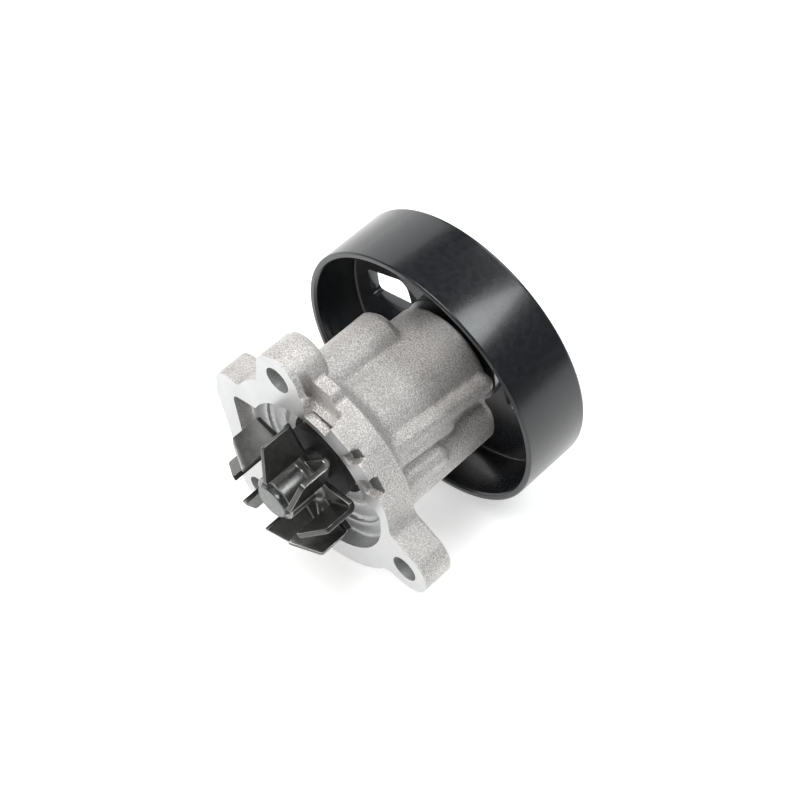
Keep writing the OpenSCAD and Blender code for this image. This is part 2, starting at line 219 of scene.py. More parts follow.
def applied(piece):
    """The mesh of a piece with its modifiers worked in."""
    graph = bpy.context.evaluated_depsgraph_get()
    return bpy.data.meshes.new_from_object(piece.evaluated_get(graph))


def work_in(piece, sharp=35.0):
    """Works a piece's modifiers into its mesh and marks its sharp edges again."""
    mesh = applied(piece)
    piece.modifiers.clear()
    old, piece.data = piece.data, mesh
    bpy.data.meshes.remove(old)
    mesh.polygons.foreach_set("use_smooth", np.ones(len(mesh.polygons), bool))
    mesh.set_sharp_from_angle(angle=math.radians(sharp))
    return piece


def tidy_mesh(mesh, distance=1e-6, turn=True):
    """Merges doubles and turns the faces outwards."""
    work = bmesh.new()
    work.from_mesh(mesh)
    bmesh.ops.remove_doubles(work, verts=work.verts, dist=distance)
    if turn:
        bmesh.ops.recalc_face_normals(work, faces=work.faces)
    work.to_mesh(mesh)
    work.free()
    return mesh


def grid_faces(rows, columns, wrap_rows=False, wrap_columns=False):
    """Four-sided faces of a grid of rows by columns, as an array of point numbers."""
    r = np.arange(rows if wrap_rows else rows - 1)
    c = np.arange(columns if wrap_columns else columns - 1)
    i, j = np.meshgrid(r, c, indexing="ij")
    ni, nj = (i + 1) % rows, (j + 1) % columns
    return np.stack([i * columns + j, i * columns + nj, ni * columns + nj, ni * columns + j],
                    -1).reshape(-1, 4)


def rounded(corners, steps=5):
    """A closed outline with rounded corners: rows of (u, v, radius). Each corner P becomes the curve
    (1-t)^2 A + 2t(1-t) P + t^2 C between the points A and C where the rounding leaves its two sides."""
    data = np.asarray(corners, float)
    p, radius = data[:, :2], data[:, 2:]
    back, ahead = np.roll(p, 1, 0) - p, np.roll(p, -1, 0) - p
    lb, la = np.linalg.norm(back, axis=1, keepdims=True), np.linalg.norm(ahead, axis=1, keepdims=True)
    back, ahead = back / lb, ahead / la
    half = 0.5 * np.arccos(np.clip((back * ahead).sum(1, keepdims=True), -1, 1))
    reach = np.minimum(radius / np.tan(np.maximum(half, 0.05)), 0.49 * np.minimum(lb, la))
    t = np.linspace(0, 1, steps)[None, :, None]
    a, c, q = (p + back * reach)[:, None], (p + ahead * reach)[:, None], p[:, None]
    return ((1 - t) ** 2 * a + 2 * t * (1 - t) * q + t**2 * c).reshape(-1, 2)


def turned(profile, segments, centre=(0, 0, 0), axis=(0, 1, 0), side=(1, 0, 0)):
    """A turned piece: the closed profile of (radius, height) carried round the axis,
    centre + height * axis + radius * (cos a * side + sin a * third)."""
    profile = np.asarray(profile, float)
    axis, side = np.array(axis, float), np.array(side, float)
    third = np.cross(side, axis)
    a = np.linspace(0, 2 * np.pi, segments, endpoint=False)[:, None, None]
    ring = np.cos(a) * side + np.sin(a) * third
    points = np.array(centre) + profile[None, :, 1:2] * axis + profile[None, :, 0:1] * ring
    faces = grid_faces(segments, len(profile), True, True)
    return points.reshape(-1, 3), faces


def prism(outline, y0, y1):
    """A straight bar along Y from an outline of (x, z) points."""
    n = len(outline)
    low = np.stack([outline[:, 0], np.full(n, y0), outline[:, 1]], 1)
    high = low + [0, y1 - y0, 0]
    i = np.arange(n)
    sides = np.stack([i, (i + 1) % n, n + (i + 1) % n, n + i], 1).tolist()
    return np.concatenate([low, high]), sides + [list(range(n)), list(range(2 * n - 1, n - 1, -1))]


def step_in(value, low, high):
    """0 below low, 1 above high and a smooth rise between."""
    t = np.clip((value - low) / (high - low), 0, 1)
    return t * t * (3 - 2 * t)


def point_normals(points, quads):
    """Unit normals at the points of a mesh of four-sided faces: the sum, over the faces round each point,
    of the cross product of their diagonals."""
    cross = np.cross(points[quads[:, 2]] - points[quads[:, 0]], points[quads[:, 3]] - points[quads[:, 1]])
    total = np.stack(
        [np.bincount(quads.ravel(), np.repeat(cross[:, k], 4), len(points)) for k in range(3)], 1)
    return total / np.maximum(np.linalg.norm(total, axis=1, keepdims=True), 1e-12)


def smoothed(points, edges, quads, share, passes, wear=1.0):
    """Moves each point part of the way to the middle of its neighbours, p + share * (mean - p), pass after
    pass. The part of a move that goes into the surface is cut down to wear, so inner corners fill and outer
    ones stay."""
    n = len(points)
    a, b = edges[:, 0], edges[:, 1]
    count = (np.bincount(a, minlength=n) + np.bincount(b, minlength=n))[:, None]
    for _ in range(passes):
        total = np.stack(
            [np.bincount(a, points[b, k], n) + np.bincount(b, points[a, k], n) for k in range(3)], 1)
        move = share * (total / count - points)
        if wear < 1:
            normal = point_normals(points, quads)
            inward = np.minimum((move * normal).sum(1, keepdims=True), 0)
            move = move - (1 - wear) * inward * normal
        points = points + move
    return points


def face_outline(mesh):
    """The edges round the milled face on the plane y = 0, as two arrays of (x, z) ends in millimetres."""
    work = bmesh.new()
    work.from_mesh(mesh)
    flat = {f.index for f in work.faces
            if abs(f.normal.y + 1) < 1e-3 and abs(f.calc_center_median().y) < 1e-6}
    ends = [[(v.co.x, v.co.z) for v in e.verts] for e in work.edges
            if sum(f.index in flat for f in e.link_faces) == 1]
    work.free()
    ends = np.array(ends) / MM
    return ends[:, 0], ends[:, 1]


def snap_to_outline(flat, starts, stops, reach):
    """Moves (x, z) points onto the nearest point of the outline where it is nearer than reach."""
    along = stops - starts
    t = np.einsum("psk,sk->ps", flat[:, None] - starts[None], along) / np.maximum((along**2).sum(1),
                                                                                  1e-12)
    foot = starts[None] + np.clip(t, 0, 1)[..., None] * along[None]
    gap = np.linalg.norm(flat[:, None] - foot, axis=2)
    best = gap.argmin(1)
    rows = np.arange(len(flat))
    near = gap[rows, best] < reach
    return np.where(near[:, None], foot[rows, best], flat)


# ---------------------------------------------------------------- finishes


def new_group(name, inputs, outputs):
    """An empty shader node group with the named inputs and outputs."""
    group = bpy.data.node_groups.new(name, "ShaderNodeTree")
    for label, value in inputs:
        group.interface.new_socket(name=label, in_out="INPUT",
                                   socket_type="NodeSocketFloat").default_value = value
    for label in outputs:
        group.interface.new_socket(name=label, in_out="OUTPUT", socket_type="NodeSocketFloat")
    return group, group.nodes.new("NodeGroupInput"), group.nodes.new("NodeGroupOutput")


def math_node(tree, operation, first, second=None):
    """A Math node fed by sockets or numbers."""
    node = tree.nodes.new("ShaderNodeMath")
    node.operation = operation
    for socket, value in zip(node.inputs, (first, second)):
        if isinstance(value, (int, float)):
            socket.default_value = value
        elif value is not None:
            tree.links.new(value, socket)
    return node.outputs[0]


def map_node(tree, value, low, high, to_low=0.0, to_high=1.0):
    """A clamped Map Range node."""
    node = tree.nodes.new("ShaderNodeMapRange")
    for socket, item in zip(node.inputs[:5], (value, low, high, to_low, to_high)):
        if isinstance(item, (int, float)):
            socket.default_value = item
        else:
            tree.links.new(item, socket)
    return node.outputs[0]


def speckle_group():
    """Cloudy noise: Mask is 0 below Low and 1 above High."""
    group, inside, out = new_group(
        "speckle", [("Scale", 100.0), ("Detail", 2.0), ("Low", 0.3), ("High", 0.7)], ["Mask"])
    where = group.nodes.new("ShaderNodeTexCoord")
    noise = group.nodes.new("ShaderNodeTexNoise")
    group.links.new(where.outputs["Object"], noise.inputs["Vector"])
    group.links.new(inside.outputs["Scale"], noise.inputs["Scale"])
    group.links.new(inside.outputs["Detail"], noise.inputs["Detail"])
    mask = map_node(group, noise.outputs["Fac"], inside.outputs["Low"], inside.outputs["High"])
    group.links.new(mask, out.inputs["Mask"])
    return group


def tool_rings_group():
    """Fine tool marks round the shaft axis: a wave of radius + distance along it, roughened by noise."""
    group, inside, out = new_group("tool_rings", [("Rings per metre", 4000.0), ("Waver", 0.5)], ["Height"])
    where = group.nodes.new("ShaderNodeTexCoord")
    parts = group.nodes.new("ShaderNodeSeparateXYZ")
    group.links.new(where.outputs["Object"], parts.inputs[0])
    x, y, z = parts.outputs
    radius = math_node(group, "SQRT", math_node(
        group, "ADD", math_node(group, "MULTIPLY", x, x), math_node(group, "MULTIPLY", z, z)))
    along = math_node(group, "ADD", radius, y)
    noise = group.nodes.new("ShaderNodeTexNoise")
    noise.noise_dimensions = "1D"
    noise.inputs["Scale"].default_value = 1.0
    noise.inputs["Detail"].default_value = 3.0
    turns = math_node(group, "MULTIPLY", along, inside.outputs["Rings per metre"])
    group.links.new(turns, noise.inputs["W"])
    wave = math_node(group, "SINE", math_node(group, "MULTIPLY", turns, math.tau))
    mixed = math_node(group, "ADD", math_node(group, "MULTIPLY", wave, 0.25),
                      math_node(group, "MULTIPLY", noise.outputs["Fac"], inside.outputs["Waver"]))
    group.links.new(mixed, out.inputs["Height"])
    return group


def brushed_group():
    """Long fine streaks along Y: noise squeezed across the streaks."""
    group, inside, out = new_group("streaks", [("Scale", 3000.0), ("Stretch", 0.04)], ["Mask"])
    where = group.nodes.new("ShaderNodeTexCoord")
    parts = group.nodes.new("ShaderNodeSeparateXYZ")
    group.links.new(where.outputs["Object"], parts.inputs[0])
    joined = group.nodes.new("ShaderNodeCombineXYZ")
    group.links.new(parts.outputs[0], joined.inputs[0])
    group.links.new(math_node(group, "MULTIPLY", parts.outputs[1], inside.outputs["Stretch"]),
                    joined.inputs[1])
    group.links.new(parts.outputs[2], joined.inputs[2])
    noise = group.nodes.new("ShaderNodeTexNoise")
    noise.inputs["Detail"].default_value = 2.0
    group.links.new(joined.outputs[0], noise.inputs["Vector"])
    group.links.new(inside.outputs["Scale"], noise.inputs["Scale"])
    group.links.new(map_node(group, noise.outputs["Fac"], 0.35, 0.65), out.inputs["Mask"])
    return group


def painted_edge_highlight_group():
    """Painted highlight on outer edges: Mask rises where the surface turns sharply outwards."""
    group, inside, out = new_group("worn_edges", [("Low", 0.52), ("High", 0.6)], ["Mask"])
    shape = group.nodes.new("ShaderNodeNewGeometry")
    mask = map_node(group, shape.outputs["Pointiness"], inside.outputs["Low"], inside.outputs["High"])
    group.links.new(mask, out.inputs["Mask"])
    return group


GROUPS = {}


def group_node(tree, kind, **values):
    """Places one of the shared groups in a material with its own values."""
    # The edges kind is the painted edge highlight.
    makers = {"speckle": speckle_group, "rings": tool_rings_group, "streaks": brushed_group,
              "edges": painted_edge_highlight_group}
    if kind not in GROUPS:
        GROUPS[kind] = makers[kind]()
    node = tree.nodes.new("ShaderNodeGroup")
    node.node_tree = GROUPS[kind]
    for label, value in values.items():
        node.inputs[label.replace("_", " ")].default_value = value
    return node.outputs[0]


def mix_colours(tree, factor, first, second):
    """Mixes two colours, each a socket or a colour."""
    node = tree.nodes.new("ShaderNodeMix")
    node.data_type = "RGBA"
    tree.links.new(factor, node.inputs["Factor"])
    for socket, value in zip((node.inputs[6], node.inputs[7]), (first, second)):
        if isinstance(value, (tuple, list)):
            socket.default_value = (*value, 1.0)
        else:
            tree.links.new(value, socket)
    return node.outputs[2]


def finish(name, dark, light, grain, rough, metallic=1.0, blotch=0.012, bump=0.0, depth=0.00002,
           rings=0.0, streaks=0.0, wear=None, coat=0.0, coat_rough=0.1, contrast=(0.35, 0.65)):
    """A finish whose colour, roughness and bump all vary: fine grain over broad blotches, with tool rings
    or streaks where asked and, where wear is given, a painted highlight that brightens the sharp outer
    edges."""
    material = bpy.data.materials.new(name)
    material.use_nodes = True
    tree = material.node_tree
    shader = tree.nodes["Principled BSDF"]
    fine = group_node(tree, "speckle", Scale=1 / grain, Detail=2.0, Low=contrast[0], High=contrast[1])
    broad = group_node(tree, "speckle", Scale=1 / blotch, Detail=3.0, Low=0.3, High=0.7)
    colour = mix_colours(tree, fine, dark, light)
    shade = mix_colours(tree, math_node(tree, "MULTIPLY", broad, 0.35), colour,
                        tuple(0.82 * c for c in dark))
    # Painted highlight: sharp outer edges are brightened towards the colour wear[0].
    if wear:
        edges = group_node(tree, "edges", Low=wear[1], High=wear[2])
        shade = mix_colours(tree, edges, shade, wear[0])
    tree.links.new(shade, shader.inputs["Base Color"])
    worn = math_node(tree, "ADD", math_node(tree, "MULTIPLY", fine, 0.5),
                     math_node(tree, "MULTIPLY", broad, 0.5))
    tree.links.new(map_node(tree, worn, 0.0, 1.0, rough[0], rough[1]), shader.inputs["Roughness"])
    height = fine
    if rings:
        height = math_node(tree, "ADD", math_node(tree, "MULTIPLY", fine, 0.3),
                           group_node(tree, "rings", Rings_per_metre=rings))
    if streaks:
        height = math_node(tree, "ADD", math_node(tree, "MULTIPLY", fine, 0.3),
                           group_node(tree, "streaks", Scale=streaks))
    if bump:
        node = tree.nodes.new("ShaderNodeBump")
        node.inputs["Strength"].default_value = bump
        node.inputs["Distance"].default_value = depth
        tree.links.new(height, node.inputs["Height"])
        tree.links.new(node.outputs["Normal"], shader.inputs["Normal"])
    shader.inputs["Metallic"].default_value = metallic
    shader.inputs["Coat Weight"].default_value = coat
    shader.inputs["Coat Roughness"].default_value = coat_rough
    return material


def scaled(colour, factor):
    """A colour made lighter or darker."""
    return tuple(min(1.0, factor * c) for c in colour)


def give(node, material):
    """Puts a finish on a kept node of the model."""
    mesh = NODES[node].data
    mesh.materials.clear()
    mesh.materials.append(material)


# ---------------------------------------------------------------- pieces


class PUMP_OT_casting(bpy.types.Operator):
    """The cast body: the model's own shape with cast fillets, a milled face and drilled holes."""
    bl_idname = "pump.casting"
    bl_label = "Cast body"

    def execute(self, context):
        settings = context.scene.pump_casting
        source = tidy_mesh(NODES["housing"].data.copy(), turn=False)
        starts, stops = face_outline(source)
        holder = bpy.data.objects.new("casting_source", source)
        context.scene.collection.objects.link(holder)
        remesh = holder.modifiers.new("skin", "REMESH")
        remesh.mode = "VOXEL"
        remesh.voxel_size = settings.cell
        mesh = applied(holder)
        bpy.data.objects.remove(holder)
        bpy.data.meshes.remove(source)
        if len(mesh.vertices) < 1000:
            raise RuntimeError("the casting's surface came out empty")
        points = np.empty(3 * len(mesh.vertices))
        mesh.vertices.foreach_get("co", points)
        edges = np.empty(2 * len(mesh.edges), int)
        mesh.edges.foreach_get("vertices", edges)
        quads = np.empty(4 * len(mesh.polygons), int)
        if len(mesh.loops) != len(quads):
            raise RuntimeError("the casting's surface isn't all four-sided")
        mesh.loops.foreach_get("vertex_index", quads)
        points = self.finished(
            points.reshape(-1, 3) / MM, edges.reshape(-1, 2), quads.reshape(-1, 4), settings, starts,
            stops)
        mesh.vertices.foreach_set("co", (points * MM).ravel())
        mesh.update()
        self.paint(mesh, settings)
        piece = add_mesh("body_casting", mesh, "housing", 42.0)
        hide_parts("housing")
        return {"FINISHED"}

    def finished(self, p, edges, quads, settings, starts, stops):
        """Rounds the cast skin, least near the machined surfaces, and then trues those."""
        cell = settings.cell / MM
        radius = np.hypot(p[:, 0], p[:, 2])
        keep = 1 - step_in(p[:, 1], *FACE_FADE)
        for bolt in BOLTS:
            away = np.hypot(p[:, 0] - bolt["pos_m"][0] / MM, p[:, 2] - bolt["pos_m"][2] / MM)
            r = bolt["dims"]["r_mm"]
            keep = np.maximum(keep, 1 - step_in(away, r + BOLT_FADE[0], r + BOLT_FADE[1]))
        throat = 1 - step_in(radius, THROAT_R + THROAT_FADE[0], THROAT_R + THROAT_FADE[1])
        keep = np.maximum(keep, np.where(p[:, 1] < THROAT_DEPTH + 0.6, throat, 0))
        keep = np.maximum(keep, 1 - step_in(radius, SEAL_R + SEAL_FADE[0], SEAL_R + SEAL_FADE[1]))
        keep = np.maximum(keep, step_in(p[:, 1], *NECK_END) * NECK_END_KEEP)
        lug = (np.abs(p[:, 0] - LUG_X) < LUG_HALF) & (p[:, 1] < LUG_DEPTH) & (p[:, 2] > LUG_Z)
        teeth = (p[:, 1] < TEETH_DEPTH) & (radius > TEETH_R) & (p[:, 0] > TEETH_X) & (p[:, 2] > TEETH_Z)
        keep = np.maximum(keep, np.where(lug | teeth, CRISP, 0))
        soft = 0.6 * (1 - keep)[:, None]
        p = smoothed(p, edges, quads, soft, 2)
        p = smoothed(p, edges, quads, soft, settings.passes, wear=0.12)
        return self.trued(p, cell, starts, stops)

    def trued(self, p, cell, starts, stops):
        """Puts points within 0.6 of a cell of the milled plane onto y = 0, and those as near to a bore onto
        its radius, and draws the milled face's rim onto its true outline."""
        reach = 0.6 * cell
        flat = p[:, 1] < reach
        p[flat, 1] = 0
        for bolt in BOLTS:
            x, z, r = bolt["pos_m"][0] / MM, bolt["pos_m"][2] / MM, bolt["dims"]["r_mm"]
            away = np.hypot(p[:, 0] - x, p[:, 2] - z)
            near = np.abs(away - r) < reach
            p[near, 0] = x + (p[near, 0] - x) * r / away[near]
            p[near, 2] = z + (p[near, 2] - z) * r / away[near]
        bores = (
            (THROAT_R, -1, THROAT_DEPTH), (SEAL_R, SEAL_START, SEAL_END),
            (BEARING_R, BEARING_START, BEARING_END))
        for r, y0, y1 in bores:
            away = np.hypot(p[:, 0], p[:, 2])
            near = (np.abs(away - r) < reach) & (p[:, 1] > y0) & (p[:, 1] < y1)
            p[near, 0] *= r / away[near]
            p[near, 2] *= r / away[near]
        rows = np.nonzero(flat)[0]
        p[rows[:, None], [0, 2]] = snap_to_outline(p[rows][:, [0, 2]], starts, stops, 0.62 * cell)
        return p

    def paint(self, mesh, settings):
        """Skin on the cast surfaces, a milled finish on the mounting face, a turned one in the bores and
        painted shade, a dark grey, on the floors of the notches.
        """
        skin = tuple(settings.skin)
        milled = tuple(settings.milled)
        mesh.materials.clear()
        for material in (
            finish("cast_skin", scaled(skin, 0.62), scaled(skin, 1.25), settings.grain, (0.4, 0.56),
                   metallic=0.5,
                   # Painted highlight: the skin's sharp outer edges are brightened to 1.2 times its colour.
                   bump=0.8, depth=0.00012, wear=(scaled(skin, 1.2), 0.53, 0.66), contrast=(0.38, 0.62)),
            finish("milled_face", scaled(milled, 0.94), milled, 0.0006, (0.3, 0.42), metallic=0.9,
                   bump=0.25, depth=0.000006, rings=3400.0),
            finish("turned_bore", scaled(milled, 0.8), scaled(milled, 1.05), 0.0006, (0.28, 0.42),
                   metallic=0.65, bump=0.4, depth=0.00001, rings=2600.0),
            # Painted shade: the notch floors face the same way as the milled face but are painted dark
            # grey.
            finish("notch_floor", (0.1, 0.105, 0.105), (0.16, 0.165, 0.165), 0.0008, (0.34, 0.48),
                   metallic=0.5, bump=0.2),
        ):
            mesh.materials.append(material)
        count = len(mesh.polygons)
        centre, normal = np.empty(3 * count), np.empty(3 * count)
        mesh.polygons.foreach_get("center", centre)
        mesh.polygons.foreach_get("normal", normal)
        c, n = centre.reshape(-1, 3) / MM, normal.reshape(-1, 3)
        radius = np.hypot(c[:, 0], c[:, 2])
        kind = np.where((c[:, 1] < 0.05) & (n[:, 1] < -0.9), 1, 0)
        shallow = c[:, 1] < THROAT_DEPTH + 0.2
        pocket = (radius < POCKET_R) & shallow & ((c[:, 2] < INLET_Z) | (c[:, 0] < TEETH_X))
        bore = pocket | ((radius < THROAT_R + 0.2) & shallow) | (radius < SEAL_R + 0.3)
        for bolt in BOLTS:
            away = np.hypot(c[:, 0] - bolt["pos_m"][0] / MM, c[:, 2] - bolt["pos_m"][2] / MM)
            bore |= away < bolt["dims"]["r_mm"] + 0.15
        kind = np.where(bore & (kind == 0), 2, kind)
        # The floors of the notches get the painted shade.
        floor = (np.abs(c[:, 1] - NOTCH_DEPTH) < 0.35) & (n[:, 1] < -0.75)
        notch_shade_mask = floor & (radius > THROAT_R + 0.2) & (c[:, 2] > TEETH_Z)
        kind = np.where(notch_shade_mask & (c[:, 0] > TEETH_X), 3, kind)
        mesh.polygons.foreach_set("material_index", kind.astype(np.int32))


class PUMP_OT_impeller(bpy.types.Operator):
    """The impeller: a star of sheet whose arms bend forward into vanes, on a pressed-in bush."""
    bl_idname = "pump.impeller"
    bl_label = "Impeller"

    def execute(self, context):
        settings = context.scene.pump_impeller
        arm, faces = self.arm(settings)
        turns = settings.first + np.arange(settings.vanes) * math.tau / settings.vanes
        c, s = np.cos(turns)[:, None], np.sin(turns)[:, None]
        x, y, z = arm.T
        stars = np.stack([c * x - s * z, np.broadcast_to(y, (len(turns), len(y))), s * x + c * z], -1)
        every = np.concatenate([faces + k * len(arm) for k in range(settings.vanes)])
        mesh = bpy.data.meshes.new("impeller_vanes")
        mesh.from_pydata((stars.reshape(-1, 3) * MM).tolist(), [], every.tolist())
        tidy_mesh(mesh, 2e-5, turn=False)
        piece = add_mesh("impeller_vanes", mesh, "rotor")
        tint = tuple(settings.tint)
        mesh.materials.append(finish(
            "impeller_sheet", scaled(tint, 0.9), scaled(tint, 1.1), 0.0016, (0.28, 0.38), metallic=0.9,
            bump=0.2, depth=0.00002, streaks=900.0, blotch=0.012))
        # Bare steel on the rounded edges of the sheet, made bright also as a painted edge highlight.
        mesh.materials.append(finish(
            "impeller_cut_edge", (0.4, 0.4, 0.39), (0.62, 0.61, 0.6), 0.0005, (0.25, 0.4), metallic=1.0,
            bump=0.3, depth=0.00003, streaks=1500.0))
        solid = piece.modifiers.new("sheet", "SOLIDIFY")
        solid.thickness = settings.sheet
        solid.offset = 0
        solid.use_even_offset = True
        solid.use_quality_normals = True
        solid.material_offset_rim = 0
        bevel = piece.modifiers.new("edges", "BEVEL")
        bevel.width = 0.00026
        bevel.segments = 2
        bevel.limit_method = "ANGLE"
        bevel.angle_limit = math.radians(50)
        # The rounded edges take the bright edge finish: bare cut metal and a painted highlight.
        bevel.material = 1
        work_in(piece, 40.0)
        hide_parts("impeller")
        self.bush(tint)
        return {"FINISHED"}

    def arm(self, settings):
        """One arm in millimetres with its vane tip on +X. Across the bend line the middle of the sheet runs
        down the vane, round a quarter circle and along the arm: P + (t/2) n, then P + (t/2 + r - r cos a) n
        with r sin a of height, then straight to the arm's far edge. A flat patch joins it to the bush."""
        half, bend = settings.sheet / MM / 2, settings.bend / MM
        tip = np.array([settings.tip_r / MM, 0.0])
        along = np.array([math.cos(settings.sweep), math.sin(settings.sweep)])
        across = np.array([-along[1], along[0]])
        length = settings.length / MM
        s = np.sort(np.concatenate([np.linspace(0, 1, 12), [0.012, 0.03, 0.97, 0.988]]))[:, None]
        line = tip + (s - 1) * length * along
        plate = IMPELLER_HIGH.y / MM - half
        corner = VANE_CORNER
        gap = np.minimum(s * length, (1 - s) * length)
        cut = np.where(gap < corner, corner - np.sqrt(np.maximum(corner**2 - (corner - gap) ** 2, 0)), 0)
        front = VANE_ROOT_FRONT + (VANE_TIP_FRONT - VANE_ROOT_FRONT) * s + cut
        t = np.linspace(0, 1, 9)[:-1]
        vane_y = front + (plate - bend - front) * t[None]
        vane_flat = np.broadcast_to((line + half * across)[:, None], (len(s), len(t), 2))
        vane = np.concatenate([vane_flat, vane_y[..., None]], -1)
        a = np.linspace(0, np.pi / 2, 9)
        out = half + bend * (1 - np.cos(a))
        arc_flat = line[:, None] + out[None, :, None] * across
        arc_y = np.broadcast_to(plate - bend + bend * np.sin(a), (len(s), len(a)))
        arc = np.concatenate([arc_flat, arc_y[..., None]], -1)
        inner, outer = np.array(ARM_FOOT), tip + (half + bend + 0.5) * across
        far = inner + (outer - inner) * s
        near = line + (half + bend) * across
        u = np.linspace(0, 1, 6)[1:, None]
        arm_flat = near[:, None] + (far - near)[:, None] * u[None]
        arm = np.concatenate([arm_flat, np.full(arm_flat.shape[:2] + (1,), plate)], -1)
        sheet = np.concatenate([vane, arc, arm], 1)
        rows, columns = sheet.shape[:2]
        edge = np.concatenate([near[:1], arm_flat[0]])
        hub_start, hub_end = np.array(HUB_EDGE)
        hub = hub_start + (hub_end - hub_start) * np.linspace(0, 1, 6)[:, None]
        w = np.linspace(0, 1, 5)[:, None, None]
        patch_flat = edge[None] + (hub - edge)[None] * w
        patch = np.concatenate([patch_flat, np.full(patch_flat.shape[:2] + (1,), plate)], -1)
        points = np.concatenate([sheet.reshape(-1, 3), patch.reshape(-1, 3)])
        faces = np.concatenate([grid_faces(rows, columns), grid_faces(5, 6)[:, ::-1] + rows * columns])
        return points[:, [0, 2, 1]], faces

    def bush(self, tint):
        """The bush: a turned sleeve with a collar that grips the star."""
        points, faces = turned(rounded(BUSH, 5) * MM, 128)
        mesh = bpy.data.meshes.new("impeller_bush")
        mesh.from_pydata(points.tolist(), [], faces.tolist())
        piece = add_mesh("impeller_bush", tidy_mesh(mesh), "rotor")
        piece.data.materials.append(finish(
            "bush_steel", scaled(tint, 1.9), scaled(tint, 2.5), 0.0009, (0.26, 0.36), bump=0.15,
            depth=0.000008, rings=2500.0))
        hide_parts("impeller")


class PUMP_OT_pulley(bpy.types.Operator):
    """The pulley: a pressed drum with a dished web and four rounded openings, in gloss paint."""
    bl_idname = "pump.pulley"
    bl_label = "Pulley"

    def execute(self, context):
        settings = context.scene.pump_pulley
        r, t = settings.rim / MM, settings.sheet / MM
        y0, y1 = PULLEY_LOW.y / MM, PULLEY_HIGH.y / MM
        wall, front = r - t, settings.web / MM
        back = front + settings.web_sheet / MM
        profile = rounded([
            (r, y0, 0.7), (r, y1, 1.3), (DISH_RIM_R, y1, 0.5), (DISH_FLOOR_R, back, 1.2),
            (HUB_SEAT_R, back, 0.2), (HUB_SEAT_R, front, 0.2), (wall, front, 1.6), (wall, y0 + 4, 0.5),
            (wall - 0.35, y0 + 3.4, 0.5), (wall - 0.35, y0 + 0.9, 0.6), (wall + 0.3, y0, 0.4)], 7)
        points, faces = turned(profile * MM, settings.segments)
        mesh = bpy.data.meshes.new("pulley_drum")
        mesh.from_pydata(points.tolist(), [], faces.tolist())
        piece = add_mesh("pulley_drum", tidy_mesh(mesh), "rotor", 32.0)
        cutters = []
        for k in range(WINDOWS):
            turn = math.radians(FIRST_WINDOW + 360 / WINDOWS * k)
            outline = rounded(WINDOW, 8)
            c, s = math.cos(turn), math.sin(turn)
            outline = outline @ np.array([[c, s], [-s, c]])
            verts, sides = prism(outline * MM, (front - 1) * MM, (back + 1) * MM)
            cut = bpy.data.meshes.new("cutter")
            cut.from_pydata(verts.tolist(), [], sides)
            tidy_mesh(cut)
            cutter = bpy.data.objects.new("cutter", cut)
            context.scene.collection.objects.link(cutter)
            modifier = piece.modifiers.new("opening", "BOOLEAN")
            modifier.operation = "DIFFERENCE"
            modifier.solver = "EXACT"
            modifier.object = cutter
            cutters.append(cutter)
        bevel = piece.modifiers.new("edges", "BEVEL")
        bevel.width = 0.0007
        bevel.segments = 3
        bevel.limit_method = "ANGLE"
        bevel.angle_limit = math.radians(60)
        work_in(piece, 32.0)
        for cutter in cutters:
            bpy.data.objects.remove(cutter)
        paint = tuple(settings.paint)
        piece.data.materials.append(finish(
            "pulley_paint", scaled(paint, 0.8), scaled(paint, 1.3), 0.0018, (0.22, 0.27), metallic=0.0,
            bump=0.02, depth=0.00001, coat=0.12, coat_rough=0.1))
        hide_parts("pulley")
        return {"FINISHED"}


class PUMP_OT_bearing(bpy.types.Operator):
    """Finishes of the spindle, hub and bearing."""
    bl_idname = "pump.bearing"
    bl_label = "Spindle and bearing"

    def execute(self, context):
        ground = finish("bearing_steel", (0.5, 0.51, 0.53), (0.66, 0.67, 0.69), 0.0008, (0.14, 0.26),
                        bump=0.2, depth=0.000005, rings=5000.0)
        cage = finish("cage_nylon", (0.62, 0.5, 0.3), (0.74, 0.62, 0.4), 0.0009, (0.4, 0.55),
                      metallic=0.0, bump=0.2)
        give("shaft",
             finish("shaft_steel", (0.15, 0.155, 0.155), (0.25, 0.255, 0.255), 0.0007, (0.26, 0.4),
                    bump=0.3,
                             depth=0.00001, rings=2200.0))
        give("pulley_hub",
             finish("hub_steel", (0.26, 0.27, 0.28), (0.4, 0.41, 0.43), 0.0009, (0.28, 0.42), bump=0.35,
                                  depth=0.000012, rings=1800.0))
        for node in ("bearing_outer_race", "front_balls", "rear_rollers"):
            give(node, ground)
        for node in ("front_cage", "rear_cage"):
            give(node, cage)
        return {"FINISHED"}


